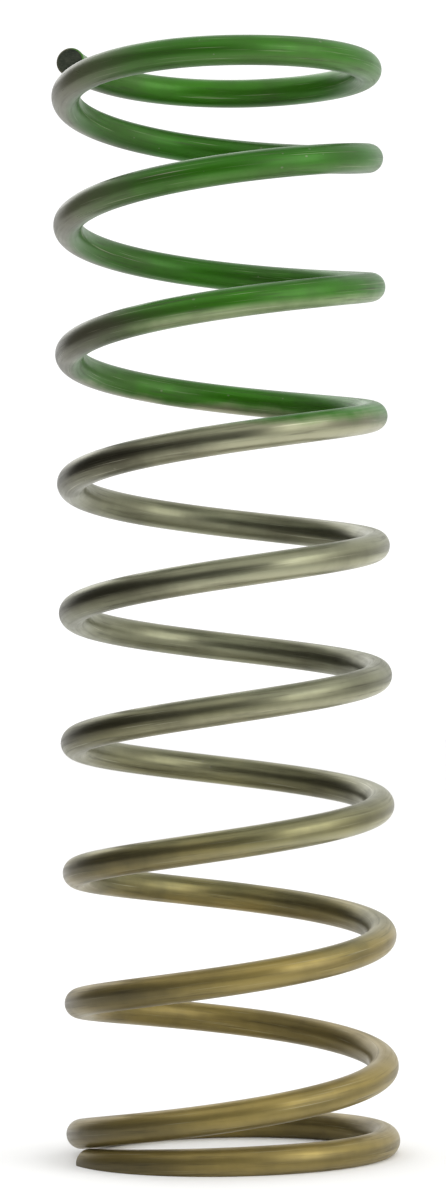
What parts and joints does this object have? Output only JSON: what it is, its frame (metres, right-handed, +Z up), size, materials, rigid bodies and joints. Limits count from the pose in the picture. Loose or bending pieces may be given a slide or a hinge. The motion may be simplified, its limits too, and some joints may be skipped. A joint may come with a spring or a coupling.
{
  "type": "coil spring",
  "caption": "Helical compression spring of round steel wire with closed ends, which squeezes along its axis, as in a car's suspension.",
  "frame": {"origin": "on the spring's axis, in the plane of the ground lower face", "axes": "+Z up the spring's axis from the lower end to the upper end, +X to the right, -Y to the front; both wire tips are at the left, -X"},
  "size_m": [0.114, 0.114, 0.3836],
  "materials": {
    "green_wire": "satin",
    "olive_wire": "satin",
    "gold_wire": "satin"
  },
  "bodies": {
    "lower_end": {"lower_end_coil": "gold_wire"},
    "upper_end": {"upper_end_coil": "green_wire"},
    "coil_1_front_wire": {"coil_1_front": "gold_wire"},
    "coil_1_front_right_wire": {"coil_1_front_right": "gold_wire"},
    "coil_1_back_right_wire": {"coil_1_back_right": "gold_wire"},
    "coil_1_back_wire": {"coil_1_back": "gold_wire"},
    "coil_1_back_left_wire": {"coil_1_back_left": "gold_wire"},
    "coil_2_front_left_wire": {"coil_2_front_left": "gold_wire"},
    "coil_2_front_wire": {"coil_2_front": "gold_wire"},
    "coil_2_front_right_wire": {"coil_2_front_right": "gold_wire"},
    "coil_2_back_right_wire": {"coil_2_back_right": "gold_wire"},
    "coil_2_back_wire": {"coil_2_back": "gold_wire"},
    "coil_2_back_left_wire": {"coil_2_back_left": "gold_wire"},
    "coil_3_front_left_wire": {"coil_3_front_left": "gold_wire"},
    "coil_3_front_wire": {"coil_3_front": "gold_wire"},
    "coil_3_front_right_wire": {"coil_3_front_right": "gold_wire"},
    "coil_3_back_right_wire": {"coil_3_back_right": "gold_wire"},
    "coil_3_back_wire": {"coil_3_back": "gold_wire"},
    "coil_3_back_left_wire": {"coil_3_back_left": "gold_wire"},
    "coil_4_front_left_wire": {"coil_4_front_left": "olive_wire"},
    "coil_4_front_wire": {"coil_4_front": "olive_wire"},
    "coil_4_front_right_wire": {"coil_4_front_right": "olive_wire"},
    "coil_4_back_right_wire": {"coil_4_back_right": "olive_wire"},
    "coil_4_back_wire": {"coil_4_back": "olive_wire"},
    "coil_4_back_left_wire": {"coil_4_back_left": "olive_wire"},
    "coil_5_front_left_wire": {"coil_5_front_left": "olive_wire"},
    "coil_5_front_wire": {"coil_5_front": "olive_wire"},
    "coil_5_front_right_wire": {"coil_5_front_right": "olive_wire"},
    "coil_5_back_right_wire": {"coil_5_back_right": "olive_wire"},
    "coil_5_back_wire": {"coil_5_back": "olive_wire"},
    "coil_5_back_left_wire": {"coil_5_back_left": "olive_wire"},
    "coil_6_front_left_wire": {"coil_6_front_left": "olive_wire"},
    "coil_6_front_wire": {"coil_6_front": "olive_wire"},
    "coil_6_front_right_wire": {"coil_6_front_right": "olive_wire"},
    "coil_6_back_right_wire": {"coil_6_back_right": "olive_wire"},
    "coil_6_back_wire": {"coil_6_back": "olive_wire"},
    "coil_6_back_left_wire": {"coil_6_back_left": "olive_wire"},
    "coil_7_front_left_wire": {"coil_7_front_left": "green_wire"},
    "coil_7_front_wire": {"coil_7_front": "green_wire"},
    "coil_7_front_right_wire": {"coil_7_front_right": "green_wire"},
    "coil_7_back_right_wire": {"coil_7_back_right": "green_wire"},
    "coil_7_back_wire": {"coil_7_back": "green_wire"},
    "coil_7_back_left_wire": {"coil_7_back_left": "green_wire"},
    "coil_8_front_left_wire": {"coil_8_front_left": "green_wire"},
    "coil_8_front_wire": {"coil_8_front": "green_wire"},
    "coil_8_front_right_wire": {"coil_8_front_right": "green_wire"},
    "coil_8_back_right_wire": {"coil_8_back_right": "green_wire"},
    "coil_8_back_wire": {"coil_8_back": "green_wire"}
  },
  "joints": [
    {"name": "compression", "type": "slide", "parent": "lower_end", "child": "upper_end", "axis": [0, 0, -1], "range_m": [0, 0.2335], "stiffness_N_per_m": 11000},
    {"name": "coil_1_front_drop", "type": "slide", "parent": "lower_end", "child": "coil_1_front_wire", "axis": [0, 0, -1], "range_m": [0, 0.00254]},
    {"name": "coil_1_front_right_drop", "type": "slide", "parent": "lower_end", "child": "coil_1_front_right_wire", "axis": [0, 0, -1], "range_m": [0, 0.00762]},
    {"name": "coil_1_back_right_drop", "type": "slide", "parent": "lower_end", "child": "coil_1_back_right_wire", "axis": [0, 0, -1], "range_m": [0, 0.01269]},
    {"name": "coil_1_back_drop", "type": "slide", "parent": "lower_end", "child": "coil_1_back_wire", "axis": [0, 0, -1], "range_m": [0, 0.01777]},
    {"name": "coil_1_back_left_drop", "type": "slide", "parent": "lower_end", "child": "coil_1_back_left_wire", "axis": [0, 0, -1], "range_m": [0, 0.02284]},
    {"name": "coil_2_front_left_drop", "type": "slide", "parent": "lower_end", "child": "coil_2_front_left_wire", "axis": [0, 0, -1], "range_m": [0, 0.02792]},
    {"name": "coil_2_front_drop", "type": "slide", "parent": "lower_end", "child": "coil_2_front_wire", "axis": [0, 0, -1], "range_m": [0, 0.03299]},
    {"name": "coil_2_front_right_drop", "type": "slide", "parent": "lower_end", "child": "coil_2_front_right_wire", "axis": [0, 0, -1], "range_m": [0, 0.03807]},
    {"name": "coil_2_back_right_drop", "type": "slide", "parent": "lower_end", "child": "coil_2_back_right_wire", "axis": [0, 0, -1], "range_m": [0, 0.04315]},
    {"name": "coil_2_back_drop", "type": "slide", "parent": "lower_end", "child": "coil_2_back_wire", "axis": [0, 0, -1], "range_m": [0, 0.04822]},
    {"name": "coil_2_back_left_drop", "type": "slide", "parent": "lower_end", "child": "coil_2_back_left_wire", "axis": [0, 0, -1], "range_m": [0, 0.0533]},
    {"name": "coil_3_front_left_drop", "type": "slide", "parent": "lower_end", "child": "coil_3_front_left_wire", "axis": [0, 0, -1], "range_m": [0, 0.05838]},
    {"name": "coil_3_front_drop", "type": "slide", "parent": "lower_end", "child": "coil_3_front_wire", "axis": [0, 0, -1], "range_m": [0, 0.06345]},
    {"name": "coil_3_front_right_drop", "type": "slide", "parent": "lower_end", "child": "coil_3_front_right_wire", "axis": [0, 0, -1], "range_m": [0, 0.06853]},
    {"name": "coil_3_back_right_drop", "type": "slide", "parent": "lower_end", "child": "coil_3_back_right_wire", "axis": [0, 0, -1], "range_m": [0, 0.0736]},
    {"name": "coil_3_back_drop", "type": "slide", "parent": "lower_end", "child": "coil_3_back_wire", "axis": [0, 0, -1], "range_m": [0, 0.07868]},
    {"name": "coil_3_back_left_drop", "type": "slide", "parent": "lower_end", "child": "coil_3_back_left_wire", "axis": [0, 0, -1], "range_m": [0, 0.08376]},
    {"name": "coil_4_front_left_drop", "type": "slide", "parent": "lower_end", "child": "coil_4_front_left_wire", "axis": [0, 0, -1], "range_m": [0, 0.08883]},
    {"name": "coil_4_front_drop", "type": "slide", "parent": "lower_end", "child": "coil_4_front_wire", "axis": [0, 0, -1], "range_m": [0, 0.09391]},
    {"name": "coil_4_front_right_drop", "type": "slide", "parent": "lower_end", "child": "coil_4_front_right_wire", "axis": [0, 0, -1], "range_m": [0, 0.09898]},
    {"name": "coil_4_back_right_drop", "type": "slide", "parent": "lower_end", "child": "coil_4_back_right_wire", "axis": [0, 0, -1], "range_m": [0, 0.10406]},
    {"name": "coil_4_back_drop", "type": "slide", "parent": "lower_end", "child": "coil_4_back_wire", "axis": [0, 0, -1], "range_m": [0, 0.10914]},
    {"name": "coil_4_back_left_drop", "type": "slide", "parent": "lower_end", "child": "coil_4_back_left_wire", "axis": [0, 0, -1], "range_m": [0, 0.11421]},
    {"name": "coil_5_front_left_drop", "type": "slide", "parent": "lower_end", "child": "coil_5_front_left_wire", "axis": [0, 0, -1], "range_m": [0, 0.11929]},
    {"name": "coil_5_front_drop", "type": "slide", "parent": "lower_end", "child": "coil_5_front_wire", "axis": [0, 0, -1], "range_m": [0, 0.12437]},
    {"name": "coil_5_front_right_drop", "type": "slide", "parent": "lower_end", "child": "coil_5_front_right_wire", "axis": [0, 0, -1], "range_m": [0, 0.12944]},
    {"name": "coil_5_back_right_drop", "type": "slide", "parent": "lower_end", "child": "coil_5_back_right_wire", "axis": [0, 0, -1], "range_m": [0, 0.13452]},
    {"name": "coil_5_back_drop", "type": "slide", "parent": "lower_end", "child": "coil_5_back_wire", "axis": [0, 0, -1], "range_m": [0, 0.13959]},
    {"name": "coil_5_back_left_drop", "type": "slide", "parent": "lower_end", "child": "coil_5_back_left_wire", "axis": [0, 0, -1], "range_m": [0, 0.14467]},
    {"name": "coil_6_front_left_drop", "type": "slide", "parent": "lower_end", "child": "coil_6_front_left_wire", "axis": [0, 0, -1], "range_m": [0, 0.14974]},
    {"name": "coil_6_front_drop", "type": "slide", "parent": "lower_end", "child": "coil_6_front_wire", "axis": [0, 0, -1], "range_m": [0, 0.15482]},
    {"name": "coil_6_front_right_drop", "type": "slide", "parent": "lower_end", "child": "coil_6_front_right_wire", "axis": [0, 0, -1], "range_m": [0, 0.1599]},
    {"name": "coil_6_back_right_drop", "type": "slide", "parent": "lower_end", "child": "coil_6_back_right_wire", "axis": [0, 0, -1], "range_m": [0, 0.16497]},
    {"name": "coil_6_back_drop", "type": "slide", "parent": "lower_end", "child": "coil_6_back_wire", "axis": [0, 0, -1], "range_m": [0, 0.17005]},
    {"name": "coil_6_back_left_drop", "type": "slide", "parent": "lower_end", "child": "coil_6_back_left_wire", "axis": [0, 0, -1], "range_m": [0, 0.17513]},
    {"name": "coil_7_front_left_drop", "type": "slide", "parent": "lower_end", "child": "coil_7_front_left_wire", "axis": [0, 0, -1], "range_m": [0, 0.1802]},
    {"name": "coil_7_front_drop", "type": "slide", "parent": "lower_end", "child": "coil_7_front_wire", "axis": [0, 0, -1], "range_m": [0, 0.18528]},
    {"name": "coil_7_front_right_drop", "type": "slide", "parent": "lower_end", "child": "coil_7_front_right_wire", "axis": [0, 0, -1], "range_m": [0, 0.19035]},
    {"name": "coil_7_back_right_drop", "type": "slide", "parent": "lower_end", "child": "coil_7_back_right_wire", "axis": [0, 0, -1], "range_m": [0, 0.19543]},
    {"name": "coil_7_back_drop", "type": "slide", "parent": "lower_end", "child": "coil_7_back_wire", "axis": [0, 0, -1], "range_m": [0, 0.20051]},
    {"name": "coil_7_back_left_drop", "type": "slide", "parent": "lower_end", "child": "coil_7_back_left_wire", "axis": [0, 0, -1], "range_m": [0, 0.20558]},
    {"name": "coil_8_front_left_drop", "type": "slide", "parent": "lower_end", "child": "coil_8_front_left_wire", "axis": [0, 0, -1], "range_m": [0, 0.21066]},
    {"name": "coil_8_front_drop", "type": "slide", "parent": "lower_end", "child": "coil_8_front_wire", "axis": [0, 0, -1], "range_m": [0, 0.21573]},
    {"name": "coil_8_front_right_drop", "type": "slide", "parent": "lower_end", "child": "coil_8_front_right_wire", "axis": [0, 0, -1], "range_m": [0, 0.22081]},
    {"name": "coil_8_back_right_drop", "type": "slide", "parent": "lower_end", "child": "coil_8_back_right_wire", "axis": [0, 0, -1], "range_m": [0, 0.22589]},
    {"name": "coil_8_back_drop", "type": "slide", "parent": "lower_end", "child": "coil_8_back_wire", "axis": [0, 0, -1], "range_m": [0, 0.23096]}
  ],
  "couplings": [
    {"joint": "coil_1_front_drop", "follows": "compression", "ratio": 0.010869},
    {"joint": "coil_1_front_right_drop", "follows": "compression", "ratio": 0.032608},
    {"joint": "coil_1_back_right_drop", "follows": "compression", "ratio": 0.054347},
    {"joint": "coil_1_back_drop", "follows": "compression", "ratio": 0.076086},
    {"joint": "coil_1_back_left_drop", "follows": "compression", "ratio": 0.097826},
    {"joint": "coil_2_front_left_drop", "follows": "compression", "ratio": 0.11957},
    {"joint": "coil_2_front_drop", "follows": "compression", "ratio": 0.1413},
    {"joint": "coil_2_front_right_drop", "follows": "compression", "ratio": 0.16304},
    {"joint": "coil_2_back_right_drop", "follows": "compression", "ratio": 0.18478},
    {"joint": "coil_2_back_drop", "follows": "compression", "ratio": 0.20652},
    {"joint": "coil_2_back_left_drop", "follows": "compression", "ratio": 0.22826},
    {"joint": "coil_3_front_left_drop", "follows": "compression", "ratio": 0.25},
    {"joint": "coil_3_front_drop", "follows": "compression", "ratio": 0.27174},
    {"joint": "coil_3_front_right_drop", "follows": "compression", "ratio": 0.29348},
    {"joint": "coil_3_back_right_drop", "follows": "compression", "ratio": 0.31522},
    {"joint": "coil_3_back_drop", "follows": "compression", "ratio": 0.33696},
    {"joint": "coil_3_back_left_drop", "follows": "compression", "ratio": 0.35869},
    {"joint": "coil_4_front_left_drop", "follows": "compression", "ratio": 0.38043},
    {"joint": "coil_4_front_drop", "follows": "compression", "ratio": 0.40217},
    {"joint": "coil_4_front_right_drop", "follows": "compression", "ratio": 0.42391},
    {"joint": "coil_4_back_right_drop", "follows": "compression", "ratio": 0.44565},
    {"joint": "coil_4_back_drop", "follows": "compression", "ratio": 0.46739},
    {"joint": "coil_4_back_left_drop", "follows": "compression", "ratio": 0.48913},
    {"joint": "coil_5_front_left_drop", "follows": "compression", "ratio": 0.51087},
    {"joint": "coil_5_front_drop", "follows": "compression", "ratio": 0.53261},
    {"joint": "coil_5_front_right_drop", "follows": "compression", "ratio": 0.55435},
    {"joint": "coil_5_back_right_drop", "follows": "compression", "ratio": 0.57609},
    {"joint": "coil_5_back_drop", "follows": "compression", "ratio": 0.59783},
    {"joint": "coil_5_back_left_drop", "follows": "compression", "ratio": 0.61957},
    {"joint": "coil_6_front_left_drop", "follows": "compression", "ratio": 0.6413},
    {"joint": "coil_6_front_drop", "follows": "compression", "ratio": 0.66304},
    {"joint": "coil_6_front_right_drop", "follows": "compression", "ratio": 0.68478},
    {"joint": "coil_6_back_right_drop", "follows": "compression", "ratio": 0.70652},
    {"joint": "coil_6_back_drop", "follows": "compression", "ratio": 0.72826},
    {"joint": "coil_6_back_left_drop", "follows": "compression", "ratio": 0.75},
    {"joint": "coil_7_front_left_drop", "follows": "compression", "ratio": 0.77174},
    {"joint": "coil_7_front_drop", "follows": "compression", "ratio": 0.79348},
    {"joint": "coil_7_front_right_drop", "follows": "compression", "ratio": 0.81522},
    {"joint": "coil_7_back_right_drop", "follows": "compression", "ratio": 0.83696},
    {"joint": "coil_7_back_drop", "follows": "compression", "ratio": 0.85869},
    {"joint": "coil_7_back_left_drop", "follows": "compression", "ratio": 0.88043},
    {"joint": "coil_8_front_left_drop", "follows": "compression", "ratio": 0.90217},
    {"joint": "coil_8_front_drop", "follows": "compression", "ratio": 0.92391},
    {"joint": "coil_8_front_right_drop", "follows": "compression", "ratio": 0.94565},
    {"joint": "coil_8_back_right_drop", "follows": "compression", "ratio": 0.96739},
    {"joint": "coil_8_back_drop", "follows": "compression", "ratio": 0.98913}
  ]
}
